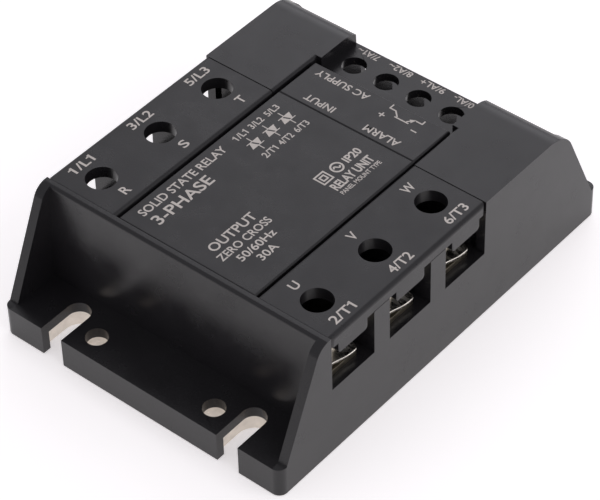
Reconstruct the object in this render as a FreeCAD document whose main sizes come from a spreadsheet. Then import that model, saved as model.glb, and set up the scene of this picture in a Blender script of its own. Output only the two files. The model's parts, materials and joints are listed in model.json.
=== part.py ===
"""Three-phase solid state relay: a slim panel-mount block with two hinged terminal covers.

Frame: +Z up, origin at the middle of the underside of the base plate. X runs across the relay,
from the line side (-X) to the load side (+X). Y runs along it, from the front flange (-Y) to the
control terminals (+Y). Millimetres.
"""
import FreeCAD, Part
import math
import os

import Sketcher

OUTPUT_FOLDER = "parts"
XY, XZ, YZ = "XY_Plane", "XZ_Plane", "YZ_Plane"

# Driving dimensions, in millimetres and degrees: alias -> value.
SIZES = {
    # case outside
    "case_width": 74.0,
    "case_length": 105.0,
    "case_height": 31.5,
    "flange_top": 7.5,
    "case_foot": 0.3,
    "wall_foot_span": 79.0,
    "wall_top_span": 76.2,
    "gusset_foot_span": 100.8,
    "gusset_top_span": 79.0,
    "gusset_thickness": 2.2,
    "gusset_front_round": 4.0,
    "gusset_rear_round": 8.0,
    "corner_round": 2.0,
    "rear_wall_top": 38.5,
    "hump_crown_y": 34.35,
    "front_rim_round": 0.8,
    "hump_inner_round": 0.8,
    # base plate and the holes that fasten the relay down
    "plate_thickness": 5.0,
    "plate_gap": 0.1,
    "plate_round": 1.5,
    "skirt_thickness": 2.0,
    "slot_spacing": 47.0,
    "slot_width": 5.5,
    "slot_end_spacing": 88.8,
    "plate_slot_width": 8.5,
    "hole_spacing_across": 31.4,
    "hole_spacing_along": 94.4,
    "hole_diameter": 4.9,
    "plate_hole_diameter": 6.0,
    # bays inside the case
    "wall_thickness": 2.2,
    "bay_half_width": 16.3,
    "partition_face": 17.9,
    "ledge_height": 28.95,
    "bay_rear_wall": 1.0,
    "rib_depth": 1.1,
    "rib_length": 1.5,
    "hump_roof": 2.0,
    "shelf_foot": 12.0,
    "shelf_top": 17.5,
    # centre panel
    "panel_top": 31.1,
    "panel_foot": 29.0,
    "panel_front": -36.25,
    "panel_rear": 25.5,
    "panel_bevel": 0.35,
    "panel_groove_y": 13.4,
    "panel_groove_width": 0.5,
    "panel_groove_depth": 0.3,
    "clip_thickness": 1.2,
    "clip_length": 6.0,
    "clip_depth": 3.5,
    "clip_play": 0.1,
    "clip_middle_y": -1.0,
    "clip_spacing": 22.0,
    "trench_half_width": 18.5,
    "trench_front": -36.4,
    "trench_rear": 26.9,
    # hinged terminal covers
    "cover_foot": 28.6,
    "cover_top": 31.4,
    "cover_rear_seam": 12.4,
    "cover_gap": 0.15,
    "cover_side_gap": 0.05,
    "cover_middle_y": -12.0,
    "cover_inner_round": 0.9,
    "cover_outer_round": 1.0,
    "lip_foot": 25.9,
    "lip_half_width": 4.4,
    "lip_thickness": 1.6,
    "lip_round": 0.9,
    "hinge_x": 20.4,
    "hinge_height": 29.4,
    "hinge_pin_radius": 0.9,
    "hinge_pin_length": 1.0,
    "hinge_clearance": 0.05,
    "hinge_trench_foot": 27.2,
    "hinge_trench_outer": 22.6,
    "driver_hole_diameter": 6.8,
    # play between pieces that are only stacked or dropped in
    "stack_gap": 0.05,
    "slip_gap": 0.1,
    # power terminals
    "terminal_x": 28.2,
    "terminal_pitch": 17.8,
    "chamber_inner": 19.5,
    "chamber_width": 13.0,
    "key_groove_inner": 33.0,
    "key_groove_outer": 34.8,
    "key_groove_depth": 1.2,
    "bar_width": 8.0,
    "bar_thickness": 1.2,
    "bar_outer": 34.5,
    "bar_inner": 14.0,
    "bar_leg_foot": 11.2,
    "bar_leg_width": 6.0,
    "screw_radius": 1.9,
    "screw_clearance": 0.05,
    "screw_well_play": 0.3,
    "nut_across_flats": 7.0,
    "nut_thickness": 3.0,
    "clamp_length": 12.4,
    "clamp_width": 9.8,
    "clamp_thickness": 1.0,
    "clamp_rise": 0.45,
    "clamp_dip": 1.9,
    "clamp_turn": -8.0,
    "head_radius": 4.0,
    "head_height": 2.8,
    "washer_radius": 3.5,
    "washer_thickness": 1.0,
    "screw_length": 8.6,
    "recess_depth": 1.9,
    "recess_width": 0.9,
    # control terminals
    "control_y": 32.4,
    "control_pitch": 8.65,
    "deck_top": 28.0,
    "deck_foot": 26.0,
    "deck_half_width": 17.4,
    "deck_front": 25.5,
    "control_chamber_width": 7.0,
    "control_chamber_front": 28.4,
    "control_hole_diameter": 5.5,
    "control_bar_thickness": 1.0,
    "control_bar_width": 5.6,
    "control_bar_rear": 37.0,
    "control_tail_front": 22.5,
    "control_tail_width": 1.0,
    "control_screw_radius": 1.4,
    "control_head_radius": 2.7,
    "control_head_height": 2.0,
    "control_washer_radius": 2.3,
    "control_washer_thickness": 0.5,
    "control_clamp_size": 6.2,
    "control_clamp_thickness": 0.8,
    "control_clamp_round": 0.6,
    "control_screw_length": 6.0,
    "control_screw_well": 4.5,
    "control_recess_depth": 1.4,
    # electronics: the board, the power modules, then what stands on the board
    "board_thickness": 1.6,
    "board_foot": 21.0,
    "board_play": 0.3,
    "board_front": -36.0,
    "board_rear": 24.2,
    "module_length": 26.0,
    "module_width": 11.0,
    "module_height": 5.0,
    "module_round": 0.8,
    "module_leg_width": 5.0,
    "module_leg_thickness": 1.5,
    "pad_thickness": 0.4,
    "pad_margin": 0.3,
    "lead_radius": 0.3,
    "lead_length": 0.5,
    "optocoupler_across": 6.0,
    "optocoupler_along": 7.5,
    "optocoupler_height": 3.5,
    "optocoupler_spacing": 7.0,
    "optocoupler_y": -8.25,
    "capacitor_across": 5.0,
    "capacitor_along": 14.0,
    "capacitor_height": 5.5,
    "capacitor_spacing": 8.0,
    "capacitor_y": -26.0,
    "resistor_across": 2.4,
    "resistor_along": 4.0,
    "resistor_height": 2.4,
    "resistor_spacing": 8.0,
    "resistor_y": -15.5,
    "varistor_radius": 3.0,
    "varistor_height": 4.0,
    "varistor_spacing": 8.0,
    "varistor_y": 1.0,
    "input_capacitor_radius": 2.5,
    "input_capacitor_height": 5.1,
    "input_capacitor_spacing": 14.0,
    "input_capacitor_y": 20.0,
    "rectifier_across": 8.0,
    "rectifier_along": 6.0,
    "rectifier_height": 2.6,
    "rectifier_y": 13.0,
    "transistor_across": 4.5,
    "transistor_along": 3.0,
    "transistor_height": 3.8,
    "transistor_x": 10.25,
    "transistor_y": 10.5,
    # screws that hold the case on the plate
    "case_screw_x": 31.0,
    "case_screw_y": 37.7,
    "case_screw_radius": 1.1,
    "case_screw_head": 2.4,
    "case_screw_length": 7.2,
    "case_screw_play": 0.2,
    "case_screw_sink": 2.0,
}

document = FreeCAD.newDocument("solid_state_relay")
sheet = document.addObject("Spreadsheet::Sheet", "Sizes")
for row, (alias, value) in enumerate(SIZES.items(), start=1):
    sheet.set(f"A{row}", alias)
    sheet.set(f"B{row}", str(value))
    sheet.setAlias(f"B{row}", alias)
document.recompute()


class Length:
    """A number together with the sheet formula that gives it, so that features stay bound."""

    def __init__(self, value, formula):
        self.value = value
        self.formula = formula

    def __add__(self, other):
        other = length(other)
        return Length(self.value + other.value, f"({self.formula} + {other.formula})")

    def __sub__(self, other):
        other = length(other)
        return Length(self.value - other.value, f"({self.formula} - {other.formula})")

    def __mul__(self, factor):
        return Length(self.value * factor, f"({self.formula} * {factor})")

    def __truediv__(self, divisor):
        return Length(self.value / divisor, f"({self.formula} / {divisor})")

    def __neg__(self):
        return Length(-self.value, f"(-1 * {self.formula})")

    __radd__ = __add__

    def __rsub__(self, other):
        return length(other) - self


def length(item):
    """The sheet entry of that name, or a plain number as a Length."""
    if isinstance(item, Length):
        return item
    if isinstance(item, str):
        return Length(SIZES[item], f"Sizes.{item}")
    return Length(float(item), f"({float(item)})")


parts = {}


def new_body(label, at=(0, 0, 0), turn=0):
    """A PartDesign body whose place is bound to the sheet; turn is about +Z, in degrees."""
    body = document.addObject("PartDesign::Body", label)
    body.Label = label
    place = [length(item) for item in at]
    turn = length(turn)
    body.Placement = FreeCAD.Placement(
        FreeCAD.Vector(*[item.value for item in place]),
        FreeCAD.Rotation(FreeCAD.Vector(0, 0, 1), turn.value))
    for axis, item in zip("xyz", place):
        body.setExpression(f"Placement.Base.{axis}", item.formula)
    body.setExpression("Placement.Rotation.Angle", turn.formula)
    parts[label] = body
    return body


def origin_plane(body, role):
    return next(item for item in body.Origin.OriginFeatures if item.Role == role)


class Drawing:
    """A sketch on one of a body's origin planes, every size of which is bound to the sheet."""

    def __init__(self, body, role, offset=0):
        self.sketch = body.newObject("Sketcher::SketchObject", f"{body.Name}_outline")
        self.sketch.AttachmentSupport = [(origin_plane(body, role), "")]
        self.sketch.MapMode = "FlatFace"
        offset = length(offset)
        self.sketch.AttachmentOffset = FreeCAD.Placement(
            FreeCAD.Vector(0, 0, offset.value), FreeCAD.Rotation())
        self.sketch.setExpression("AttachmentOffset.Base.z", offset.formula)
        self.constraints = []
        self.formulas = []

    def hold(self, *constraint, size=None):
        """Note a constraint, and the sheet formula of its size if it has one."""
        numbers = () if size is None else (size.value,)
        self.constraints.append(Sketcher.Constraint(*constraint, *numbers))
        self.formulas.append(None if size is None else size.formula)

    def pin(self, geometry, point, across, up):
        """Hold one point of the sketch at a place."""
        self.hold("DistanceX", -1, 1, geometry, point, size=length(across))
        self.hold("DistanceY", -1, 1, geometry, point, size=length(up))

    def add(self, curve, construction=False):
        return self.sketch.addGeometry(curve, construction)

    def polygon(self, corners):
        """A closed outline of straight runs through corners given as (across, up)."""
        corners = [(length(across), length(up)) for across, up in corners]
        vectors = [flat_vector(across, up) for across, up in corners]
        ends = vectors[1:] + vectors[:1]
        lines = [self.add(Part.LineSegment(start, end)) for start, end in zip(vectors, ends)]
        for line, following, (across, up) in zip(lines, lines[1:] + lines[:1], corners):
            self.hold("Coincident", line, 2, following, 1)
            self.pin(line, 1, across, up)

    def box(self, across, up):
        """A rectangle from its two extents, each a pair (low, high)."""
        self.polygon([(across[0], up[0]), (across[1], up[0]), (across[1], up[1]), (across[0], up[1])])

    def circle(self, centre, radius):
        radius = length(radius)
        circle = self.add(Part.Circle(flat_vector(*centre), FreeCAD.Vector(0, 0, 1), radius.value))
        self.pin(circle, 3, *centre)
        self.hold("Radius", circle, size=radius)

    def hexagon(self, centre, across_flats):
        """A hexagon with two flats parallel to the first axis."""
        half = length(across_flats) / 2
        flat_half, point = half / math.sqrt(3), half * 2 / math.sqrt(3)
        outline = [(point, 0), (flat_half, half), (-flat_half, half), (-point, 0), (-flat_half, -half),
                   (flat_half, -half)]
        middle_across, middle_up = length(centre[0]), length(centre[1])
        self.polygon([(middle_across + across, middle_up + up) for across, up in outline])

    def done(self):
        """Put the constraints in the sketch at once and bind them to the sheet."""
        indices = self.sketch.addConstraint(self.constraints)
        for index, formula in zip(indices, self.formulas):
            if formula is not None:
                self.sketch.setExpression(f"Constraints[{index}]", formula)
        return self.sketch


def flat_vector(across, up):
    return FreeCAD.Vector(length(across).value, length(up).value, 0)


def extrude(body, kind, sketch, depth, reverse=False):
    """Pad or Pocket a sketch; reverse takes it the other way along the sketch's normal."""
    feature = body.newObject(f"PartDesign::{kind}", f"{body.Name}_{kind.lower()}")
    feature.Profile = sketch
    depth = length(depth)
    feature.Length = depth.value
    feature.setExpression("Length", depth.formula)
    feature.Reversed = reverse
    return feature


def layer(body, kind, z, boxes=(), circles=(), hexagons=()):
    """Add (Pad) or remove (Pocket) upright shapes that share one height range."""
    low, high = length(z[0]), length(z[1])
    drawing = Drawing(body, XY, low)
    for x, y in boxes:
        drawing.box(x, y)
    for centre, radius in circles:
        drawing.circle(centre, radius)
    for centre, across_flats in hexagons:
        drawing.hexagon(centre, across_flats)
    return extrude(body, kind, drawing.done(), high - low, reverse=(kind == "Pocket"))


def block(body, kind, x, y, z):
    """Add or remove one rectangular block given by its three extents."""
    return layer(body, kind, z, boxes=[(x, y)])


def drum(body, kind, centre, radius, z):
    """Add or remove one upright round block."""
    return layer(body, kind, z, circles=[(centre, radius)])


def edges_where(shape, test):
    """Names of a shape's straight edges that satisfy a test of their middle and direction."""
    names = []
    for index, edge in enumerate(shape.Edges, start=1):
        if edge.Degenerated or not isinstance(edge.Curve, (Part.Line, Part.LineSegment)):
            continue
        middle = edge.valueAt((edge.FirstParameter + edge.LastParameter) / 2)
        direction = edge.tangentAt(edge.FirstParameter)
        if test(middle, direction):
            names.append(f"Edge{index}")
    return names


def round_edges(body, radius, test, kind="Fillet"):
    """Fillet or chamfer the straight edges of the body's tip that satisfy a test."""
    document.recompute()
    base = body.Tip
    names = edges_where(base.Shape, test)
    if not names:
        raise RuntimeError(f"{body.Label}: no edge to round")
    feature = body.newObject(f"PartDesign::{kind}", f"{body.Name}_{kind.lower()}")
    feature.Base = (base, names)
    radius = length(radius)
    size_name = "Radius" if kind == "Fillet" else "Size"
    setattr(feature, size_name, radius.value)
    feature.setExpression(size_name, radius.formula)
    return feature


def near(value, target, tolerance=0.02):
    return abs(value - length(target).value) < tolerance


def upright(middle, way):
    """True for an edge along Z."""
    return abs(way.z) > 0.99


def sides():
    """The line side and the load side, as (name, sign, turn of a load-side piece)."""
    return (("line", -1, 180), ("load", 1, 0))


def terminal_y(index):
    """Place along Y of power terminal 1, 2 or 3."""
    return length("cover_middle_y") + length("terminal_pitch") * (index - 2)


def control_x(index):
    """Place along X of control terminal 1 to 4."""
    return length("control_pitch") * (index - 2.5)


HALF_WIDTH = length("case_width") / 2
HALF_LENGTH = length("case_length") / 2
EXTRA = 1.0  # how far a cut runs past the face that it opens


def flange_openings(slot_width, hole_diameter, edge):
    """The four open slots, their round ends and the four round holes, as boxes and circles."""
    slot_half, slot_end = length(slot_width) / 2, length("slot_end_spacing") / 2
    boxes, ends, holes = [], [], []
    for side in (-1, 1):
        slot_x = length("slot_spacing") / 2 * side
        for end in (-1, 1):
            outside = (edge + EXTRA) * end
            span = (outside, slot_end * end) if end < 0 else (slot_end * end, outside)
            boxes.append(((slot_x - slot_half, slot_x + slot_half), span))
            ends.append(((slot_x, slot_end * end), slot_half))
            centre = (length("hole_spacing_across") / 2 * side, length("hole_spacing_along") / 2 * end)
            holes.append((centre, length(hole_diameter) / 2))
    return boxes, ends, holes


def make_base_plate():
    """Nickel-plated metal plate that carries the heat, with open slots and round holes."""
    body = new_body("base_plate")
    half_x = HALF_WIDTH - "skirt_thickness" - "plate_gap"
    half_y = HALF_LENGTH - "skirt_thickness" - "plate_gap"
    thickness = length("plate_thickness")
    block(body, "Pad", (-half_x, half_x), (-half_y, half_y), (0, thickness))
    slots, slot_ends, holes = flange_openings("plate_slot_width", "plate_hole_diameter", half_y)
    layer(body, "Pocket", (0, thickness), boxes=slots)
    shank = length("case_screw_radius") + "case_screw_play"
    layer(body, "Pocket", (0, thickness),
          circles=slot_ends + holes + [(place, shank) for place in case_screw_places()])
    head = length("case_screw_head") + "case_screw_play"
    layer(body, "Pocket", (0, "case_screw_sink"), circles=[(place, head) for place in case_screw_places()])
    round_edges(body, "plate_round",
                lambda middle, way: upright(middle, way) and near(abs(middle.y), half_y))


def make_case():
    """One moulding: mounting flange, drafted end walls, gussets, terminal chambers and deck."""
    body = new_body("case")
    foot, flange_top, top = length("case_foot"), length("flange_top"), length("case_height")
    block(body, "Pad", (-HALF_WIDTH, HALF_WIDTH), (-HALF_LENGTH, HALF_LENGTH), (foot, flange_top))
    round_edges(body, "corner_round", upright)

    wall_foot, wall_top = length("wall_foot_span") / 2, length("wall_top_span") / 2
    walls = Drawing(body, YZ, -HALF_WIDTH)
    sunk = flange_top - EXTRA
    walls.polygon([(-wall_foot, sunk), (wall_foot, sunk), (wall_foot, flange_top),
                   ("rear_wall_top", top), (-wall_top, top), (-wall_foot, flange_top)])
    extrude(body, "Pad", walls.done(), "case_width")
    round_edges(body, "front_rim_round",
                lambda middle, way: near(middle.y, -wall_top) and near(middle.z, top))
    trim_rear_crown(body)

    for offset in (-HALF_WIDTH, HALF_WIDTH - "gusset_thickness"):
        gusset = gusset_drawing(body, offset)
        extrude(body, "Pad", gusset.done(), "gusset_thickness")

    # hollow under the flange for the base plate, the bays above it, then the ribs of the board
    pocket_x, pocket_y = HALF_WIDTH - "skirt_thickness", HALF_LENGTH - "skirt_thickness"
    plate_top = length("plate_thickness")
    block(body, "Pocket", (-pocket_x, pocket_x), (-pocket_y, pocket_y), (foot - EXTRA, plate_top))
    inner_x, inner_y = HALF_WIDTH - "wall_thickness", wall_top - "wall_thickness"
    block(body, "Pocket", (-inner_x, inner_x), (-inner_y, inner_y), (plate_top, "shelf_foot"))
    bay, ledge = length("bay_half_width"), length("ledge_height")
    bay_rear = length("deck_front") - "bay_rear_wall"
    block(body, "Pocket", (-bay, bay), ("trench_front", bay_rear), ("shelf_foot", ledge))
    ribs = [(mirrored(bay - "rib_depth", bay, side), (terminal_y(place), terminal_y(place) + "rib_length"))
            for side in (-1, 1) for place in (1.5, 2.5, 3.5)]
    layer(body, "Pad", ("shelf_foot", "board_foot"), boxes=ribs)

    # recess for the centre panel and the lower deck behind it
    trench, deck = length("trench_half_width"), length("deck_half_width")
    block(body, "Pocket", (-trench, trench), ("trench_front", "trench_rear"), (ledge, top + EXTRA))
    round_edges(body, "hump_inner_round",
                lambda middle, way: near(abs(middle.x), trench) and near(middle.z, top))
    block(body, "Pocket", (-deck, deck), ("deck_front", wall_foot + EXTRA), ("deck_top", top + EXTRA))

    cut_terminal_sides(body)
    cut_control_chambers(body, wall_foot)
    slots, slot_ends, holes = flange_openings("slot_width", "hole_diameter", HALF_LENGTH)
    layer(body, "Pocket", (foot, flange_top), boxes=slots)
    layer(body, "Pocket", (foot, flange_top), circles=slot_ends + holes)
    pilot = length("case_screw_radius") + "screw_clearance"
    layer(body, "Pocket", (plate_top, foot + "case_screw_length" + "screw_well_play"),
          circles=[(place, pilot) for place in case_screw_places()])


def trim_rear_crown(body):
    """Round the rear of the top along the arc that the side walls follow."""
    crown, top, radius = length("hump_crown_y"), length("case_height"), length("gusset_rear_round")
    turn = math.radians(40)
    last = (crown + radius * math.cos(turn), top - radius * (1 - math.sin(turn)))
    above = top + EXTRA
    centre = Part.Circle(flat_vector(crown, top - radius), FreeCAD.Vector(0, 0, 1), radius.value)
    drawing = Drawing(body, YZ, -HALF_WIDTH - EXTRA)
    bow = drawing.add(Part.ArcOfCircle(centre, turn, math.pi / 2))
    rise = drawing.add(Part.LineSegment(flat_vector(crown, top), flat_vector(crown, above)))
    across = drawing.add(Part.LineSegment(flat_vector(crown, above), flat_vector(last[0], above)))
    fall = drawing.add(Part.LineSegment(flat_vector(last[0], above), flat_vector(*last)))
    drawing.pin(bow, 3, crown, top - radius)
    drawing.pin(bow, 1, *last)
    drawing.hold("DistanceX", -1, 1, bow, 2, size=crown)
    drawing.hold("Coincident", bow, 2, rise, 1)
    drawing.pin(rise, 2, crown, above)
    drawing.hold("Coincident", rise, 2, across, 1)
    drawing.pin(across, 2, last[0], above)
    drawing.hold("Coincident", across, 2, fall, 1)
    drawing.hold("Coincident", fall, 2, bow, 1)
    extrude(body, "Pocket", drawing.done(), length("case_width") + EXTRA * 2, reverse=True)


def gusset_drawing(body, offset):
    """Profile of a side wall: a trapezoid whose two upper corners are round."""
    half_foot, half_top = length("gusset_foot_span") / 2, length("gusset_top_span") / 2
    low, high = length("flange_top"), length("case_height")
    ends = ((1, length("gusset_rear_round")), (-1, length("gusset_front_round")))
    run, rise = half_foot.value - half_top.value, high.value - low.value
    slant = math.atan2(rise, run)
    foot, shoulder, crown, bows = [], [], [], []
    for sign, radius in ends:
        setback = radius.value * math.tan(slant / 2)
        foot.append(flat_vector(half_foot * sign, low))
        shoulder.append(flat_vector((half_top.value + setback * math.cos(slant)) * sign,
                                    high.value - setback * math.sin(slant)))
        crown.append(flat_vector((half_top.value - setback) * sign, high))
        bows.append(Part.Circle(crown[-1] - flat_vector(0, radius), FreeCAD.Vector(0, 0, 1), radius.value))
    upright = math.pi / 2

    drawing = Drawing(body, YZ, offset)
    base = drawing.add(Part.LineSegment(foot[1], foot[0]))
    right = drawing.add(Part.LineSegment(foot[0], shoulder[0]))
    bow_right = drawing.add(Part.ArcOfCircle(bows[0], upright - slant, upright))
    ridge = drawing.add(Part.LineSegment(crown[0], crown[1]))
    bow_left = drawing.add(Part.ArcOfCircle(bows[1], upright, upright + slant))
    left = drawing.add(Part.LineSegment(shoulder[1], foot[1]))
    drawing.hold("Coincident", base, 2, right, 1)
    drawing.hold("Tangent", right, 2, bow_right, 1)
    drawing.hold("Tangent", bow_right, 2, ridge, 1)
    drawing.hold("Tangent", ridge, 2, bow_left, 1)
    drawing.hold("Tangent", bow_left, 2, left, 1)
    drawing.hold("Coincident", left, 2, base, 1)
    drawing.pin(base, 1, -half_foot, low)
    drawing.pin(base, 2, half_foot, low)
    for (sign, radius), slope, bow in zip(ends, (right, left), (bow_right, bow_left)):
        corner = drawing.add(Part.Point(flat_vector(half_top * sign, high)), True)
        drawing.pin(corner, 1, half_top * sign, high)
        drawing.hold("PointOnObject", corner, 1, slope)
        drawing.hold("PointOnObject", corner, 1, ridge)
        drawing.hold("Radius", bow, size=radius)
    return drawing


def mirrored(low, high, side):
    """An X extent given for the load side, taken to the side wanted."""
    low, high = length(low), length(high)
    return (low, high) if side > 0 else (-high, -low)


def cut_terminal_sides(body):
    """Cover recesses, hinge trenches, chambers with nut pockets, and the hollow rear humps."""
    top = length("case_height")
    front, seam = length("trench_front"), length("cover_rear_seam")
    outside = HALF_WIDTH + EXTRA
    cover_foot, floor = length("cover_foot"), length("shelf_top")
    bar_top = floor + "bar_thickness"
    half_chamber, half_bar = length("chamber_width") / 2, length("bar_width") / 2 + "slip_gap"
    nut_foot = floor - "nut_thickness" - "slip_gap"
    wall = length("wall_thickness")
    hump_y = (seam + wall, length("wall_top_span") / 2 - wall)
    recesses, trenches, chambers, passages, pockets, clearances, humps = [], [], [], [], [], [], []
    for side in (-1, 1):
        recesses.append((mirrored("partition_face", outside, side), (front, seam)))
        trenches.append((mirrored("partition_face", "hinge_trench_outer", side), (front, seam)))
        humps.append((mirrored(length("trench_half_width") + wall, HALF_WIDTH - wall, side), hump_y))
        for index in (1, 2, 3):
            middle = terminal_y(index)
            centre = (length("terminal_x") * side, middle)
            chambers.append((mirrored("chamber_inner", outside, side),
                             (middle - half_chamber, middle + half_chamber)))
            passages.append((mirrored("bay_half_width", "chamber_inner", side),
                             (middle - half_bar, middle + half_bar)))
            pockets.append((centre, length("nut_across_flats") + length("slip_gap") * 2))
            clearances.append((centre, length("screw_radius") + "screw_well_play"))
    layer(body, "Pocket", (cover_foot, top + EXTRA), boxes=recesses)
    layer(body, "Pocket", ("hinge_trench_foot", cover_foot), boxes=trenches)
    layer(body, "Pocket", (floor, cover_foot), boxes=chambers)
    chamber_rear = terminal_y(3) + half_chamber
    grooves = [(mirrored("key_groove_inner", "key_groove_outer", side),
                (chamber_rear, chamber_rear + "key_groove_depth")) for side in (-1, 1)]
    layer(body, "Pocket", (floor, cover_foot), boxes=grooves)
    layer(body, "Pocket", (floor, bar_top + "slip_gap"), boxes=passages)
    layer(body, "Pocket", (nut_foot, floor), hexagons=pockets)
    layer(body, "Pocket", ("shelf_foot", nut_foot), circles=clearances)
    layer(body, "Pocket", ("shelf_foot", top - "hump_roof"), boxes=humps)
    for y, reach in ((front, -1), (seam, 1)):
        pin_holes = Drawing(body, XZ, -y)
        for side in (-1, 1):
            pin_holes.circle((length("hinge_x") * side, "hinge_height"),
                             length("hinge_pin_radius") + "hinge_clearance")
        extrude(body, "Pocket", pin_holes.done(), length("hinge_pin_length") + "cover_gap",
                reverse=(reach < 0))


def cut_control_chambers(body, wall_foot):
    """Four chambers under the deck, open to the rear, each with a driver hole above it."""
    floor = length("shelf_top")
    half, bar_half = length("control_chamber_width") / 2, length("control_bar_width") / 2 + "slip_gap"
    middles = [control_x(index) for index in (1, 2, 3, 4)]
    centres = [(middle, "control_y") for middle in middles]
    front = length("control_chamber_front")
    bay_rear = length("deck_front") - "bay_rear_wall"
    layer(body, "Pocket", (floor, "deck_foot"),
          boxes=[((middle - half, middle + half), (front, wall_foot + EXTRA)) for middle in middles])
    layer(body, "Pocket", ("deck_foot", "deck_top"),
          circles=[(centre, length("control_hole_diameter") / 2) for centre in centres])
    layer(body, "Pocket", (floor - "control_screw_well", floor),
          circles=[(centre, length("control_screw_radius") + "screw_well_play") for centre in centres])
    layer(body, "Pocket", (floor, floor + "control_bar_thickness" + "slip_gap"),
          boxes=[((middle - bar_half, middle + bar_half), (bay_rear - EXTRA, front)) for middle in middles])


def make_centre_panel():
    """Snap-in lid over the electronics, with a bevelled rim and one shallow cross groove."""
    body = new_body("centre_panel")
    half, foot, top = length("partition_face"), length("panel_foot"), length("panel_top")
    block(body, "Pad", (-half, half), ("panel_front", "panel_rear"), (foot, top))
    round_edges(body, "panel_bevel", lambda middle, way: near(middle.z, top), "Chamfer")
    groove = Drawing(body, YZ, -half)
    middle, groove_half = length("panel_groove_y"), length("panel_groove_width") / 2
    groove.polygon([(middle - groove_half, top), (middle, top - "panel_groove_depth"),
                    (middle + groove_half, top)])
    extrude(body, "Pocket", groove.done(), half * 2, reverse=True)
    clip_outer, clip_half = length("bay_half_width") - "clip_play", length("clip_length") / 2
    places = [length("clip_middle_y") + length("clip_spacing") * step for step in (-1, 0, 1)]
    clips = [(mirrored(clip_outer - "clip_thickness", clip_outer, side), (y - clip_half, y + clip_half))
             for side in (-1, 1) for y in places]
    layer(body, "Pad", (foot - "clip_depth", foot), boxes=clips)


def make_cover(label, turn):
    """Terminal cover drawn for the load side; the line side uses the same moulding turned round.

    Its frame stands at the middle of the cover's length, so that a half turn about +Z swaps sides.
    """
    body = new_body(label, at=(0, "cover_middle_y", 0), turn=turn)
    foot, top = length("cover_foot"), length("cover_top")
    inner, outer = length("trench_half_width"), HALF_WIDTH - "cover_side_gap"
    half = (length("cover_rear_seam") - "trench_front") / 2 - "cover_gap"
    block(body, "Pad", (inner, outer), (-half, half), (foot, top))
    round_edges(body, "cover_inner_round", lambda middle, way: near(middle.x, inner) and near(middle.z, top))
    round_edges(body, "cover_outer_round",
                lambda middle, way: near(middle.x, outer) and (near(middle.z, top) or upright(middle, way)))
    lip_inner = outer - "lip_thickness"
    lip_half, lip_foot = length("lip_half_width"), length("lip_foot")
    middles = [length("terminal_pitch") * step for step in (-1, 0, 1)]
    layer(body, "Pad", (lip_foot, foot),
          boxes=[((lip_inner, outer), (middle - lip_half, middle + lip_half)) for middle in middles])
    round_edges(body, "lip_round", lambda middle, way: abs(way.x) > 0.99 and near(middle.z, lip_foot))
    layer(body, "Pocket", (foot, top),
          circles=[(("terminal_x", middle), length("driver_hole_diameter") / 2) for middle in middles])
    for y, forward in ((-half, True), (half, False)):
        pin = Drawing(body, XZ, -y)
        pin.circle(("hinge_x", "hinge_height"), "hinge_pin_radius")
        extrude(body, "Pad", pin.done(), "hinge_pin_length", reverse=not forward)


def make_power_terminal(label, side, index):
    """Bus bar from the terminal chamber through the partition and down to its power module."""
    body = new_body(label, at=(0, terminal_y(index), 0), turn=0 if side > 0 else 180)
    half, leg_half = length("bar_width") / 2, length("bar_leg_width") / 2
    floor = length("shelf_top")
    top = floor + "bar_thickness"
    block(body, "Pad", ("bar_inner", "bar_outer"), (-half, half), (floor, top))
    block(body, "Pad", ("bar_inner", length("bar_inner") + "bar_thickness"), (-leg_half, leg_half),
          ("bar_leg_foot", floor))
    drum(body, "Pocket", ("terminal_x", 0), length("screw_radius") + "screw_clearance", (floor, top))


def make_power_clamp(label, side, index):
    """Square saddle that the screw pulls down on the wire; its ends dip to grip."""
    body = new_body(label, at=(length("terminal_x") * side, terminal_y(index), 0), turn="clamp_turn")
    foot = length("shelf_top") + "bar_thickness" + "stack_gap"
    half, rise, thick = length("clamp_length") / 2, length("clamp_rise"), length("clamp_thickness")
    flat = half - "clamp_dip"
    profile = Drawing(body, XZ, -(length("clamp_width") / 2))
    upper, lower = foot + rise + thick, foot + rise
    profile.polygon([(-half, foot), (-flat, lower), (flat, lower), (half, foot),
                     (half, foot + thick), (flat, upper), (-flat, upper), (-half, foot + thick)])
    extrude(body, "Pad", profile.done(), "clamp_width")
    drum(body, "Pocket", (0, 0), length("screw_radius") + "slip_gap", (foot, upper))


def make_power_screw(label, side, index):
    """M4 pan-head screw with a captive spring washer and a cross recess."""
    body = new_body(label, at=(length("terminal_x") * side, terminal_y(index), 0))
    clamp_foot = length("shelf_top") + "bar_thickness" + "stack_gap"
    washer_foot = clamp_foot + "clamp_rise" + "clamp_thickness" + "stack_gap"
    make_screw_shape(body, washer_foot, washer=("washer_radius", "washer_thickness"),
                     head=("head_radius", "head_height"), shank=("screw_radius", "screw_length"),
                     recess_depth="recess_depth")


def turn_profile(body, outline):
    """Revolve a drawing a full turn about its upright axis."""
    turned = body.newObject("PartDesign::Revolution", f"{body.Name}_turned")
    turned.Profile = outline.done()
    turned.ReferenceAxis = (turned.Profile[0], ["V_Axis"])
    turned.Angle = 360.0


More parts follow.
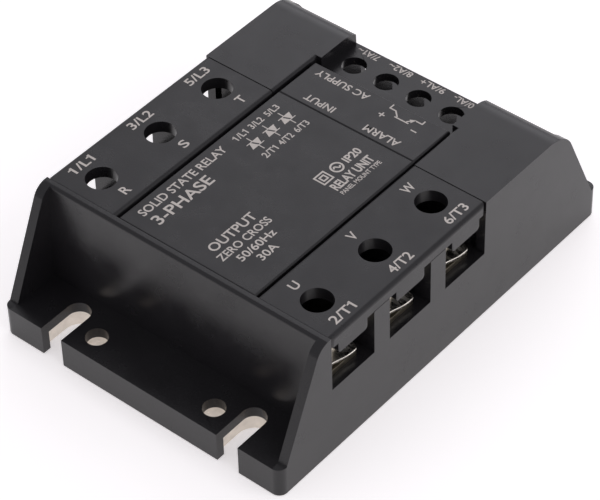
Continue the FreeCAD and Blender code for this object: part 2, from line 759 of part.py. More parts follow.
def make_screw_shape(body, foot, washer, head, shank, recess_depth):
    """Turned profile of a screw, cross recess cut in the head; each pair is (radius, height)."""
    (washer_radius, washer_height), (head_radius, head_height) = washer, head
    (shank_radius, shank_length) = shank
    washer_radius, head_radius = length(washer_radius), length(head_radius)
    shank_radius = length(shank_radius)
    washer_top = foot + washer_height
    head_top, tip = washer_top + head_height, foot - shank_length
    tip_bevel = shank_radius * 0.2
    groove = length("slip_gap")
    neck = head_radius * 0.78
    rim, crown = head_radius * 0.85, head_radius * 0.6
    outline = Drawing(body, XZ)
    outline.polygon([
        (0, tip), (shank_radius - tip_bevel, tip), (shank_radius, tip + tip_bevel), (shank_radius, foot),
        (washer_radius, foot), (washer_radius, washer_top - groove), (neck, washer_top - groove),
        (neck, washer_top), (head_radius, washer_top), (head_radius, head_top - length(head_height) * 0.35),
        (rim, head_top - length(head_height) * 0.07), (crown, head_top), (0, head_top)])
    turn_profile(body, outline)
    arm, half_slot = head_radius * 0.62, length("recess_width") / 2
    span = (head_top - recess_depth, head_top + EXTRA)
    block(body, "Pocket", (-arm, arm), (-half_slot, half_slot), span)
    block(body, "Pocket", (-half_slot, half_slot), (-arm, arm), span)


def make_nuts(label, side):
    """Three M4 hexagon nuts held in the pockets of the terminal shelf."""
    nuts = []
    foot = length("shelf_top") - "nut_thickness" - "stack_gap"
    for index in (1, 2, 3):
        body = new_body(f"{label}_{index}", at=(length("terminal_x") * side, terminal_y(index), 0))
        layer(body, "Pad", (foot, foot + "nut_thickness"), hexagons=[((0, 0), "nut_across_flats")])
        drum(body, "Pocket", (0, 0), length("screw_radius") + "screw_clearance",
             (foot, foot + "nut_thickness"))
        nuts.append(body)
    gather(label, nuts)


def join(label, members):
    """Identical pieces kept as separate solids of one node."""
    group = document.addObject("Part::Compound", label)
    group.Label = label
    group.Links = members
    parts[label] = group


def make_control_terminal(label, index):
    """Small tapped bar on the control shelf, with a tail into the electronics bay."""
    body = new_body(label, at=(control_x(index), 0, 0))
    half, floor = length("control_bar_width") / 2, length("shelf_top")
    top = floor + "control_bar_thickness"
    tail, tail_half = length("control_tail_front"), length("control_tail_width") / 2
    block(body, "Pad", (-half, half), (tail, "control_bar_rear"), (floor, top))
    block(body, "Pad", (-tail_half, tail_half), (tail, tail + "control_tail_width"), (top, "board_foot"))
    drum(body, "Pocket", (0, "control_y"), length("control_screw_radius") + "screw_clearance", (floor, top))


def make_control_clamp(label, index):
    """Small flat wire clamp under a control screw."""
    body = new_body(label, at=(control_x(index), "control_y", 0))
    foot = length("shelf_top") + "control_bar_thickness" + "stack_gap"
    top = foot + "control_clamp_thickness"
    half = length("control_clamp_size") / 2
    block(body, "Pad", (-half, half), (-half, half), (foot, top))
    drum(body, "Pocket", (0, 0), length("control_screw_radius") + "slip_gap", (foot, top))
    round_edges(body, "control_clamp_round", upright)


def make_control_screw(label, index):
    """M3 cross-recess screw of a control terminal."""
    body = new_body(label, at=(control_x(index), "control_y", 0))
    clamp_foot = length("shelf_top") + "control_bar_thickness" + "stack_gap"
    foot = clamp_foot + "control_clamp_thickness" + "stack_gap"
    make_screw_shape(body, foot, washer=("control_washer_radius", "control_washer_thickness"),
                     head=("control_head_radius", "control_head_height"),
                     shank=("control_screw_radius", "control_screw_length"),
                     recess_depth="control_recess_depth")


def gather(label, members):
    """Give the node its one piece, or join several identical pieces in it."""
    for body in members:
        parts.pop(body.Label)
    if len(members) == 1:
        parts[label] = members[0]
    else:
        join(label, members)


def row_of_blocks(label, kind, count=1, middle_x=0):
    """Moulded components side by side across the board, their sizes read from the sheet by kind."""
    half_x, half_y = length(f"{kind}_across") / 2, length(f"{kind}_along") / 2
    y, foot = length(f"{kind}_y"), length("board_foot") + "board_thickness"
    members = []
    for x in row_places(kind, count, middle_x):
        name = label if count == 1 else f"{label}_{len(members) + 1}"
        body = new_body(name, at=(x, y, 0))
        block(body, "Pad", (-half_x, half_x), (-half_y, half_y), (foot, foot + f"{kind}_height"))
        members.append(body)
    gather(label, members)


def row_of_discs(label, kind, count):
    """Round components that each stand on a lead, side by side across the board."""
    foot = length("board_foot") + "board_thickness"
    body_foot = foot + "lead_length"
    members = []
    for x in row_places(kind, count, 0):
        body = new_body(f"{label}_{len(members) + 1}", at=(x, f"{kind}_y", 0))
        drum(body, "Pad", (0, 0), f"{kind}_radius", (body_foot, body_foot + f"{kind}_height"))
        drum(body, "Pad", (0, 0), "lead_radius", (foot, body_foot))
        members.append(body)
    gather(label, members)


def row_places(kind, count, middle_x):
    """Places along X of a row that is centred on middle_x."""
    if count == 1:
        return [length(middle_x)]
    return [length(f"{kind}_spacing") * (step - (count - 1) / 2) + middle_x for step in range(count)]


def make_power_modules():
    """Three potted thyristor modules on insulating pads, one under each pair of terminals."""
    plate_top = length("plate_thickness")
    pad_top = plate_top + "pad_thickness"
    module_top = pad_top + "module_height"
    half_x, half_y = length("module_length") / 2, length("module_width") / 2
    pad_x, pad_y = half_x + "pad_margin", half_y + "pad_margin"
    leg_end, leg_half = length("bar_inner") + "bar_thickness", length("module_leg_width") / 2
    leg_foot = length("bar_leg_foot") - "module_leg_thickness"
    pads = []
    for index in (1, 2, 3):
        pad = new_body(f"insulating_pad_{index}", at=(0, terminal_y(index), 0))
        block(pad, "Pad", (-pad_x, pad_x), (-pad_y, pad_y), (plate_top, pad_top))
        pads.append(pad)
        body = new_body(f"power_module_{index}", at=(0, terminal_y(index), 0))
        block(body, "Pad", (-half_x, half_x), (-half_y, half_y), (pad_top, module_top))
        round_edges(body, "module_round", upright)
        for side in (-1, 1):
            block(body, "Pad", mirrored(half_x - EXTRA, leg_end, side), (-leg_half, leg_half),
                  (leg_foot, "bar_leg_foot"))
    gather("insulating_pads", pads)


def make_circuit_board():
    """The driver board across the bay, and the components on it."""
    half, foot = length("bay_half_width") - "board_play", length("board_foot")
    board = new_body("circuit_board")
    block(board, "Pad", (-half, half), ("board_front", "board_rear"), (foot, foot + "board_thickness"))
    row_of_blocks("optocouplers", "optocoupler", count=3)
    row_of_blocks("snubber_capacitors", "capacitor", count=3)
    row_of_blocks("snubber_resistors", "resistor", count=3)
    row_of_discs("varistors", "varistor", count=3)
    row_of_discs("input_capacitors", "input_capacitor", count=2)
    row_of_blocks("rectifier_bridge", "rectifier")
    row_of_blocks("alarm_transistor", "transistor", middle_x="transistor_x")


def case_screw_places():
    """The four corners where the case is screwed on the plate."""
    return [(length("case_screw_x") * side, length("case_screw_y") * end)
            for side in (-1, 1) for end in (-1, 1)]


def make_case_screws():
    """Four countersunk self-tapping screws that hold the case on the base plate."""
    members = []
    head_foot = length("case_foot") + "slip_gap"
    head, shank = length("case_screw_head"), length("case_screw_radius")
    tip = head_foot + "case_screw_length"
    for x, y in case_screw_places():
        body = new_body(f"case_screw_{len(members) + 1}", at=(x, y, 0))
        outline = Drawing(body, XZ)
        outline.polygon([(0, head_foot), (head, head_foot), (shank, head_foot + head - shank),
                         (shank, tip - shank), (0, tip)])
        turn_profile(body, outline)
        members.append(body)
    gather("case_screws", members)


make_base_plate()
make_case()
make_centre_panel()
for side_name, sign, half_turn in sides():
    make_cover(f"{side_name}_cover", half_turn)
    for number in (1, 2, 3):
        make_power_terminal(f"{side_name}_terminal_{number}", sign, number)
        make_power_clamp(f"{side_name}_clamp_{number}", sign, number)
        make_power_screw(f"{side_name}_screw_{number}", sign, number)
    make_nuts(f"{side_name}_nuts", sign)
for number in (1, 2, 3, 4):
    make_control_terminal(f"control_terminal_{number}", number)
    make_control_clamp(f"control_clamp_{number}", number)
    make_control_screw(f"control_screw_{number}", number)
make_power_modules()
make_circuit_board()
make_case_screws()

document.recompute()
for item in document.Objects:
    if "Invalid" in item.State or "Error" in item.State:
        raise RuntimeError(f"{item.Label} did not build: {item.State}")
os.makedirs(OUTPUT_FOLDER, exist_ok=True)
for name, item in parts.items():
    shape = item.Shape
    if shape.isNull() or not shape.isValid():
        raise RuntimeError(f"{name} is not a valid shape")
    shape.exportStep(f"{OUTPUT_FOLDER}/{name}.step")
    box = shape.BoundBox
    print(f"{name:22s} solids {len(shape.Solids)} volume {shape.Volume:9.1f}"
          f"  x {box.XMin:6.1f} {box.XMax:6.1f}  y {box.YMin:6.1f} {box.YMax:6.1f}"
          f"  z {box.ZMin:5.1f} {box.ZMax:5.1f}")
print(len(parts), "nodes")
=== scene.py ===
import json
import math

import bmesh
import bpy
from mathutils import Matrix, Vector


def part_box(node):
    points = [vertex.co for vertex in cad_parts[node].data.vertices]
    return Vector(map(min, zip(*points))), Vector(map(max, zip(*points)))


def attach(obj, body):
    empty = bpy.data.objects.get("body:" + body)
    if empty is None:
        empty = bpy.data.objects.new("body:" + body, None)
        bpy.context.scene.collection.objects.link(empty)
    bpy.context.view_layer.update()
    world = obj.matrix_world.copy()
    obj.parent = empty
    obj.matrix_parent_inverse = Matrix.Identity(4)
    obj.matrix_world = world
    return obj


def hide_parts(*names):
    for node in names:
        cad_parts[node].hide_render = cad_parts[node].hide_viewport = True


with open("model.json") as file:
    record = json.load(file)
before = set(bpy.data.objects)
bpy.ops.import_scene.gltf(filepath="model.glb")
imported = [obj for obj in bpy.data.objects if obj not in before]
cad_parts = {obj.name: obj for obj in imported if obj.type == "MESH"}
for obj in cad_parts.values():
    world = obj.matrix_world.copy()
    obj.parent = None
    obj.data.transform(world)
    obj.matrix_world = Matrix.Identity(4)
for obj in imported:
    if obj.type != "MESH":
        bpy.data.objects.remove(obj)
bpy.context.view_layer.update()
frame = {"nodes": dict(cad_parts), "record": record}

# Sizes and places are in millimetres, and MM turns them into the frame's metres.
MM = 0.001
HOUSING = "housing"
SIDES = ("line", "load")
POWER = (1, 2, 3)
CONTROL = (1, 2, 3, 4)
DECK_TOP = 28.0         # upper face of the case behind the centre panel
PRINT_THICKNESS = 0.03  # ink, half of it above the face that carries it
UPWARD = 90.0           # reads along +Y, seen from the load side
REARWARD = 180.0        # reads along -X, seen from the rear


# ---------------------------------------------------------------- materials
class Look:
    """A node material under construction: one principled shader and the nodes that feed it."""

    def __init__(self, name, color, roughness, metallic=0.0):
        self.material = bpy.data.materials.new(name)
        self.material.use_nodes = True
        self.tree = self.material.node_tree
        self.shader = self.tree.nodes["Principled BSDF"]
        self.shader.inputs["Metallic"].default_value = metallic
        self.shader.inputs["Roughness"].default_value = roughness
        self.color = color
        self.place = self.tree.nodes.new("ShaderNodeTexCoord").outputs["Object"]

    def node(self, kind, **settings):
        made = self.tree.nodes.new(kind)
        for key, value in settings.items():
            setattr(made, key, value)
        return made

    def link(self, source, target):
        self.tree.links.new(source, target)

    def stretched(self, factors):
        """Texture place with each axis scaled, for grain that runs one way."""
        mapping = self.node("ShaderNodeMapping")
        mapping.inputs["Scale"].default_value = factors
        self.link(self.place, mapping.inputs["Vector"])
        return mapping.outputs["Vector"]

    def noise(self, per_metre, detail=3.0, roughness=0.55, place=None):
        texture = self.node("ShaderNodeTexNoise")
        texture.inputs["Scale"].default_value = per_metre
        texture.inputs["Detail"].default_value = detail
        texture.inputs["Roughness"].default_value = roughness
        self.link(place or self.place, texture.inputs["Vector"])
        return texture.outputs["Fac"]

    def spread(self, value, low, high, from_low=0.3, from_high=0.7):
        """The value taken from its own range to the range wanted."""
        ranged = self.node("ShaderNodeMapRange")
        limits = {"From Min": from_low, "From Max": from_high, "To Min": low, "To Max": high}
        for name, number in limits.items():
            ranged.inputs[name].default_value = number
        self.link(value, ranged.inputs["Value"])
        return ranged.outputs["Result"]

    def tint(self, value, darker, lighter):
        """Base colour that moves between two factors of the main colour."""
        ramp = self.node("ShaderNodeValToRGB")
        ends = ramp.color_ramp.elements
        ends[0].position, ends[1].position = 0.3, 0.7
        ends[0].color = [part * darker for part in self.color] + [1.0]
        ends[1].color = [min(1.0, part * lighter) for part in self.color] + [1.0]
        self.link(value, ramp.inputs["Fac"])
        return ramp.outputs["Color"]

    def mixed(self, first, second, amount):
        mix = self.node("ShaderNodeMix", data_type="RGBA")
        self.link(amount, mix.inputs["Factor"])
        self.link(first, mix.inputs["A"])
        if isinstance(second, (tuple, list)):
            mix.inputs["B"].default_value = (*second, 1.0)
        else:
            self.link(second, mix.inputs["B"])
        return mix.outputs["Result"]

    def paint(self, color):
        self.link(color, self.shader.inputs["Base Color"])

    def dull(self, value):
        self.link(value, self.shader.inputs["Roughness"])

    def emboss(self, *layers):
        """Bump from several height fields, each (value, depth in metres, strength)."""
        normal = None
        for value, depth, strength in layers:
            bump = self.node("ShaderNodeBump")
            bump.inputs["Distance"].default_value = depth
            bump.inputs["Strength"].default_value = strength
            self.link(value, bump.inputs["Height"])
            if normal is not None:
                self.link(normal, bump.inputs["Normal"])
            normal = bump.outputs["Normal"]
        self.link(normal, self.shader.inputs["Normal"])


def moulded(name, color, roughness, grain=1.0):
    """Flame-retardant moulded plastic with a spark-eroded texture and faint flow marks."""
    look = Look(name, color, roughness)
    flow = look.noise(55.0, detail=2.0)
    speckle = look.noise(2600.0, detail=2.0)
    grains = look.noise(5200.0, detail=3.0, roughness=0.6)
    handled = look.noise(170.0, detail=4.0)
    base = look.tint(flow, 0.90, 1.10)
    dusty = look.spread(speckle, 0.0, 0.22, 0.58, 0.80)
    look.paint(look.mixed(base, tuple(part * 2.0 + 0.003 for part in color), dusty))
    look.dull(look.spread(handled, roughness - 0.05, roughness + 0.07))
    look.emboss((grains, 0.00004, 0.30 * grain), (speckle, 0.00006, 0.16 * grain), (flow, 0.0003, 0.04))
    look.shader.inputs["Specular IOR Level"].default_value = 0.4
    return look.material


def plated(name, color, roughness, along=(1.0, 1.0, 1.0), scratch=0.25):
    """Bright nickel plating: fine drawing marks, small stains and a slightly uneven gloss."""
    look = Look(name, color, roughness, metallic=1.0)
    stains = look.noise(420.0, detail=4.0)
    marks = look.noise(900.0, detail=2.0, place=look.stretched(along))
    grit = look.noise(7000.0, detail=2.0)
    look.paint(look.tint(stains, 0.86, 1.04))
    look.dull(look.spread(marks, roughness - 0.07, roughness + 0.12))
    look.emboss((marks, 0.00003, scratch), (grit, 0.00002, 0.15), (stains, 0.00008, 0.06))
    return look.material


def inked(name, color):
    """Pad-printed ink: slightly thin in places, so the plastic shows through."""
    look = Look(name, color, 0.55)
    thin = look.noise(3200.0, detail=3.0)
    patches = look.noise(500.0, detail=2.0)
    base = look.tint(patches, 0.93, 1.03)
    worn = look.spread(thin, 0.0, 0.5, 0.62, 0.80)
    look.paint(look.mixed(base, tuple(part * 0.55 for part in color), worn))
    look.dull(look.spread(thin, 0.48, 0.66))
    look.emboss((thin, 0.00002, 0.25))
    return look.material


def component(name, color, roughness, fine=1800.0):
    """Moulded epoxy, lacquer or sleeve of an electronic component."""
    look = Look(name, color, roughness)
    patches = look.noise(260.0, detail=3.0)
    grit = look.noise(fine, detail=3.0)
    look.paint(look.tint(patches, 0.82, 1.15))
    look.dull(look.spread(grit, roughness - 0.08, roughness + 0.10))
    look.emboss((grit, 0.00005, 0.25))
    return look.material


def tabletop(name, color):
    """Matte pale paper of the table."""
    look = Look(name, color, 0.85)
    fibres = look.noise(30.0, detail=5.0)
    look.paint(look.tint(fibres, 0.985, 1.0))
    look.emboss((look.noise(900.0), 0.0001, 0.05))
    look.shader.inputs["Emission Color"].default_value = (1.0, 0.95, 0.955, 1.0)
    look.shader.inputs["Emission Strength"].default_value = 0.5
    return look.material


CASE_COLOR = (0.0122, 0.0114, 0.0128)
PRINT_COLOR = (0.62, 0.57, 0.53)
case_plastic = moulded("case_plastic", CASE_COLOR, 0.215)
panel_plastic = moulded("panel_plastic", tuple(part * 1.05 for part in CASE_COLOR), 0.29, grain=0.8)
cover_plastic = moulded("cover_plastic", tuple(part * 1.08 for part in CASE_COLOR), 0.30)
white_ink = inked("white_ink", PRINT_COLOR)
plate_nickel = plated("plate_nickel", (0.86, 0.80, 0.72), 0.34, along=(1.0, 0.08, 1.0), scratch=0.35)
screw_nickel = plated("screw_nickel", (0.84, 0.80, 0.73), 0.24, along=(1.0, 1.0, 0.15), scratch=0.2)
clamp_nickel = plated("clamp_nickel", (0.86, 0.82, 0.74), 0.22, along=(0.12, 1.0, 1.0), scratch=0.2)
# The bus bars' metal is darkened far below bright tin: painted shade for the shadow and the dark
# reflection on their front faces.
bar_tin_painted_shade = plated("bar_tin_painted_shade", (0.36, 0.32, 0.25), 0.34, along=(0.1, 1.0, 1.0))
LOOKS = {
    "case_plastic": case_plastic,
    "panel_plastic": panel_plastic,
    "cover_plastic": cover_plastic,
    "plate_metal": plate_nickel,
    "bar_metal": bar_tin_painted_shade,
    "board": component("board_resist", (0.03, 0.13, 0.06), 0.32, fine=900.0),
    "insulator": component("insulator_rubber", (0.42, 0.42, 0.39), 0.75),
    "module_resin": component("module_resin", (0.018, 0.018, 0.020), 0.55),
    "component_resin": component("component_resin", (0.022, 0.022, 0.024), 0.45),
    "capacitor_film": component("capacitor_film", (0.45, 0.27, 0.05), 0.30),
    "varistor_coat": component("varistor_coat", (0.05, 0.14, 0.30), 0.28),
    "capacitor_sleeve": component("capacitor_sleeve", (0.03, 0.04, 0.10), 0.30),
}


def dress_nodes():
    """Give every CAD node the material of its slot."""
    for entry in frame["record"]["subparts"]:
        node, slot = entry["node"], entry["material_slot"]
        if slot == "fastener_metal":
            material = clamp_nickel if "clamp" in node else screw_nickel
        else:
            material = LOOKS[slot]
        slots = frame["nodes"][node].data.materials
        slots.clear()
        slots.append(material)


# ---------------------------------------------------------------- softened CAD edges
EDGE_ANGLE = 32.0
CASE_EDGE = 0.22
MOULDED_EDGE = 0.18
PLATE_EDGE = 0.25
STAMPED_EDGE = 0.08
OTHER_EDGE = 0.1
NORMAL_WEIGHT = 60


def edge_width(node, slot):
    """How far the sharp edges of a node are broken."""
    if node == "case":
        return CASE_EDGE
    if "plastic" in slot:
        return MOULDED_EDGE
    if node == "base_plate":
        return PLATE_EDGE
    if any(part in node for part in ("clamp", "screw", "terminal")):
        return STAMPED_EDGE
    return OTHER_EDGE


def soften(node, width):
    """Join the faces of a CAD node and break its sharp edges, as moulding and stamping do."""
    obj = frame["nodes"][node]
    weld = obj.modifiers.new("weld", "WELD")
    weld.merge_threshold = 0.002 * MM
    crisp(obj, width)
    for face in obj.data.polygons:
        face.use_smooth = True


def crisp(obj, width, angle=EDGE_ANGLE):
    """Fine broken edges."""
    edge = obj.modifiers.new("edge", "BEVEL")
    edge.width = width * MM
    edge.segments = 2
    edge.limit_method = "ANGLE"
    edge.angle_limit = math.radians(angle)
    even = obj.modifiers.new("even", "WEIGHTED_NORMAL")
    even.weight = NORMAL_WEIGHT


def soften_nodes():
    for entry in frame["record"]["subparts"]:
        soften(entry["node"], edge_width(entry["node"], entry["material_slot"]))


# ---------------------------------------------------------------- printing
def mesh_from(made, name):
    """Mesh that holds what a bmesh holds; the bmesh is freed."""
    mesh = bpy.data.meshes.new(name)
    made.to_mesh(mesh)
    made.free()
    return mesh


def mesh_piece(name, mesh, material, body):
    """Object with one material that rides on a body."""
    obj = bpy.data.objects.new(name, mesh)
    bpy.context.scene.collection.objects.link(obj)
    obj.data.materials.clear()
    obj.data.materials.append(material)
    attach(obj, body)
    return obj


def islands(made):
    """Separate closed shells of a bmesh, from left to right."""
    left, found = set(made.verts), []
    while left:
        stack, shell = [min(left, key=lambda vertex: vertex.index)], set()
        while stack:
            vertex = stack.pop()
            if vertex in shell:
                continue
            shell.add(vertex)
            near = [edge.other_vert(vertex) for edge in vertex.link_edges]
            stack += [other for other in near if other not in shell]
        left -= shell
        found.append(sorted(shell, key=lambda vertex: vertex.index))
    return sorted(found, key=lambda shell: min(v.co.x for v in shell) + max(v.co.x for v in shell))


def add_flag(made, stem, cap):
    """The short flag at the head of a figure one, whose stem is a plain bar."""
    edge = min(vertex.co.x for vertex in stem)
    low = min(vertex.co.z for vertex in stem)
    high = max(vertex.co.z for vertex in stem)
    tip = edge - 0.25 * cap
    inside = edge + 0.02
    outline = [(inside, 1.0), (edge - 0.07 * cap, 0.87), (tip, 0.81), (tip, 0.69), (inside, 0.69)]
    loops = [[made.verts.new((x, y * cap, z)) for x, y in outline] for z in (low, high)]
    made.faces.new(loops[0])
    made.faces.new(loops[1][::-1])
    for step in range(len(outline)):
        after = (step + 1) % len(outline)
        made.faces.new((loops[0][after], loops[0][step], loops[1][step], loops[1][after]))


def lettering(words, run, height, weight):
    """Flat letters, centred: run along +X and height along +Y."""
    curve = bpy.data.curves.new("letters", "FONT")
    curve.body = words
    curve.extrude = 0.5
    curve.offset = weight
    curve.resolution_u = 4
    carrier = bpy.data.objects.new("letters", curve)
    mesh = bpy.data.meshes.new_from_object(carrier)
    bpy.data.objects.remove(carrier)
    bpy.data.curves.remove(curve)
    made = bmesh.new()
    made.from_mesh(mesh)
    bmesh.ops.remove_doubles(made, verts=made.verts, dist=1e-5)
    made.verts.index_update()
    shells = islands(made)
    signs = [sign for sign in words if sign != " "]
    if len(shells) == len(signs):
        cap = max(vertex.co.y for sign, shell in zip(signs, shells) if sign != "/" for vertex in shell)
        for sign, shell in zip(signs, shells):
            if sign == "/":
                low, high = min(v.co.y for v in shell), max(v.co.y for v in shell)
                for vertex in shell:
                    vertex.co.y = (vertex.co.y - low) / (high - low) * cap
            elif sign == "1":
                add_flag(made, shell, cap)
    bmesh.ops.recalc_face_normals(made, faces=made.faces)
    made.to_mesh(mesh)
    made.free()
    corners = [vertex.co for vertex in mesh.vertices]
    low = Vector([min(corner[axis] for corner in corners) for axis in range(3)])
    high = Vector([max(corner[axis] for corner in corners) for axis in range(3)])
    middle, span = (low + high) / 2, high - low
    scale = Matrix.Diagonal((run / span.x, height / span.y, PRINT_THICKNESS / span.z, 1.0))
    mesh.transform(scale @ Matrix.Translation(-middle))
    return mesh


def slab(outline):
    """Flat print of a closed outline."""
    made = bmesh.new()
    foot = [made.verts.new((x, y, -PRINT_THICKNESS / 2)) for x, y in outline]
    face = made.faces.new(foot)
    raised = bmesh.ops.extrude_face_region(made, geom=[face])["geom"]
    moved = [item for item in raised if isinstance(item, bmesh.types.BMVert)]
    bmesh.ops.translate(made, verts=moved, vec=(0, 0, PRINT_THICKNESS))
    bmesh.ops.recalc_face_normals(made, faces=made.faces)
    return mesh_from(made, "slab")


def ribbon(points, width):
    """Both edges of a line of even width through points, mitred at the corners."""
    left, right = [], []
    for index, point in enumerate(points):
        here = Vector(point)
        ways = []
        if index:
            ways.append((here - Vector(points[index - 1])).normalized())
        if index < len(points) - 1:
            ways.append((Vector(points[index + 1]) - here).normalized())
        way = sum(ways, Vector((0, 0))).normalized()
        across = Vector((-way.y, way.x))
        first = Vector((-ways[0].y, ways[0].x))
        reach = width / 2 / max(0.35, across.dot(first))
        left.append(tuple(here + across * reach))
        right.append(tuple(here - across * reach))
    return left, right


def line_print(points, width):
    """Print of a line of even width through points."""
    left, right = ribbon(points, width)
    return slab(left + right[::-1])


class Sheet:
    """Everything printed on one face: pieces are drawn in place, then joined in one object."""

    def __init__(self, name, height, body):
        self.name = name
        self.height = height
        self.body = body
        self.gathered = bmesh.new()

    def put(self, mesh, x, y, turn=0.0):
        """Place a flat mesh with its middle at x, y."""
        place = Matrix.Translation((x, y, 0)) @ Matrix.Rotation(math.radians(turn), 4, "Z")
        mesh.transform(place)
        self.gathered.from_mesh(mesh)
        bpy.data.meshes.remove(mesh)

    def words(self, words, x, y, run, height, turn, weight=0.014):
        self.put(lettering(words, run, height, weight), x, y, turn)

    def finish(self):
        mesh = mesh_from(self.gathered, self.name)
        mesh.transform(Matrix.Translation((0, 0, self.height)) @ Matrix.Diagonal((MM, MM, MM, 1.0)))
        return mesh_piece(self.name, mesh, white_ink, self.body)


def middle_of(node):
    low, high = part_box(node)
    return (low + high) / 2


PHASES = {"line": "RST", "load": "UVW"}
LINE_MARKS = ("1/L1", "3/L2", "5/L3")
LOAD_MARKS = ("2/T1", "4/T2", "6/T3")
COVER_MARKS = {"line": LINE_MARKS, "load": LOAD_MARKS}
COVER_HEIGHT = 2.3   # of every letter on a cover
PHASE_RUN = 1.9
WIDE_PHASE_RUN = 2.9
MARK_RUN = 6.5
PHASE_INWARD = 6.1   # from the screw's axis towards the centre panel
MARK_OUTWARD = 5.9   # from the screw's axis towards the side wall
COVER_SHIFT = 0.35


def cover_print(side):
    """Phase letter beside each driver hole and the terminal number beyond it."""
    sheet = Sheet(f"{side}_cover_print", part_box(f"{side}_cover")[1].z, f"{side}_cover")
    for index, phase, mark in zip(POWER, PHASES[side], COVER_MARKS[side]):
        place = middle_of(f"{side}_screw_{index}") / MM
        outward = math.copysign(1.0, place.x)
        y = place.y + COVER_SHIFT
        run = WIDE_PHASE_RUN if phase == "W" else PHASE_RUN
        sheet.words(phase, place.x - outward * PHASE_INWARD, y, run, COVER_HEIGHT, UPWARD)
        sheet.words(mark, place.x + outward * MARK_OUTWARD, y, MARK_RUN, COVER_HEIGHT, UPWARD)
    return sheet.finish()


# Words on the centre panel: text, x, y, run and height.
OUTPUT_WORDS = (
    ("SOLID STATE RELAY", -15.0, -19.95, 25.5, 2.15),
    ("3-PHASE", -11.25, -24.2, 16.8, 2.9),
    ("OUTPUT", 2.6, -25.2, 13.2, 2.4),
    ("ZERO CROSS", 5.8, -25.2, 15.2, 2.0),
    ("50/60Hz", 8.8, -25.1, 10.6, 2.0),
    ("30A", 11.75, -25.15, 5.1, 2.0),
)
CONTROL_WORDS = (
    ("AC SUPPLY", -8.6, 23.15, 13.8, 1.9),
    ("INPUT", -8.6, 15.65, 7.6, 1.9),
    ("ALARM", 7.85, 15.6, 8.9, 2.0),
)
TRIAC_X = -10.92
TRIAC_Y = -2.2
TRIAC_STEP = 5.0
TRIAC_MARK_HEIGHT = 1.7


def panel_print():
    """Function words, triac diagram and control marks of the centre panel."""
    sheet = Sheet("centre_panel_print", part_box("centre_panel")[1].z, HOUSING)
    for words, x, y, run, height in OUTPUT_WORDS:
        sheet.words(words, x, y, run, height, UPWARD)
    for step, (line_mark, load_mark) in enumerate(zip(LINE_MARKS, LOAD_MARKS)):
        y = TRIAC_Y + TRIAC_STEP * step
        sheet.words(line_mark, TRIAC_X - 4.03, y - 0.1, 3.8, TRIAC_MARK_HEIGHT, UPWARD)
        sheet.words(load_mark, TRIAC_X + 3.97, y - 0.1, 3.9, TRIAC_MARK_HEIGHT, UPWARD)
        triac(sheet, TRIAC_X, y)
    approval_block(sheet)
    for words, x, y, run, height in CONTROL_WORDS:
        sheet.words(words, x, y, run, height, REARWARD)
    alarm_contact(sheet)
    return sheet.finish()


def triac(sheet, x, y):
    """Two opposed triangles between two bars, with a lead from each bar that runs along X."""
    half, bar, lead, reach = 0.85, 0.22, 0.24, 1.6
    low, high = bar / 2 - half, half - bar / 2
    corners = [(-1.7, low), (0.12, low), (-0.55, high), (-1.0, high)]
    for sign in (1, -1):
        sheet.put(slab([(sign * across, sign * up) for across, up in corners]), x, y, UPWARD)
        sheet.put(line_print([(-1.75, -half * sign), (1.75, -half * sign)], bar), x, y, UPWARD)
        start, end = half + bar / 2, half + reach
        sheet.put(line_print([(0.0, start * sign), (0.0, end * sign)], lead), x, y, UPWARD)


def approval_block(sheet):
    """Generic symbols: double insulation, alternating current in a ring, then two plain lines."""
    x, squares_y, ring_y = 6.75, -1.75, 2.45
    for outer, inner in ((1.6, 1.22), (0.82, 0.46)):
        for turn in (0.0, 90.0, 180.0, 270.0):
            side = [(-outer, outer), (-inner, inner), (inner, inner), (outer, outer)]
            sheet.put(slab(side), x, squares_y, turn)
    radius, count = 1.35, 40
    turns = [2 * math.pi * step / count for step in range(count + 1)]
    ring = [(radius * math.cos(turn), radius * math.sin(turn)) for turn in turns]
    sheet.put(line_print(ring, 0.42), x, ring_y, 0.0)
    length, swing, count = 1.7, 0.45, 16
    wave = [(length * (step / count - 0.5), swing * math.sin(2 * math.pi * step / count))
            for step in range(count + 1)]
    sheet.put(line_print(wave, 0.36), x, ring_y, UPWARD)
    sheet.words("IP20", 6.8, 7.2, 4.6, 2.1, UPWARD, 0.024)
    sheet.words("RELAY UNIT", 10.25, 3.1, 12.2, 2.3, UPWARD, 0.03)
    sheet.words("PANEL MOUNT TYPE", 12.5, 3.1, 12.3, 1.15, UPWARD)


def alarm_contact(sheet):
    """Open-collector transistor with its two poles."""
    thick = 0.32
    sheet.put(line_print([(6.2, 21.9), (9.8, 21.9)], thick), 0, 0)
    sheet.put(line_print([(6.7, 22.15), (5.3, 23.5), (3.8, 23.5), (3.8, 24.8)], thick), 0, 0)
    sheet.put(line_print([(9.1, 22.15), (9.6, 22.7)], thick), 0, 0)
    sheet.put(slab([(10.55, 23.75), (9.25, 23.1), (10.05, 22.35)]), 0, 0)
    sheet.put(line_print([(10.6, 23.5), (12.2, 23.5), (12.2, 24.6)], thick), 0, 0)
    arm, half = 0.75, thick / 2
    cross = [(half, half), (half, arm), (-half, arm), (-half, half), (-arm, half), (-arm, -half),
             (-half, -half), (-half, -arm), (half, -arm), (half, -half), (arm, -half), (arm, half)]
    sheet.put(slab(cross), 3.7, 20.8)
    sheet.put(line_print([(11.35, 20.7), (12.85, 20.7)], thick), 0, 0)


# Marks on the deck: text and run, from the first control terminal on.
DECK_WORDS = (("7/A1~", 5.5), ("8/A2~", 6.1), ("9/AL+", 6.2), ("10/AL-", 6.2))
DECK_WORDS_Y = 37.3
DECK_WORDS_HEIGHT = 1.75


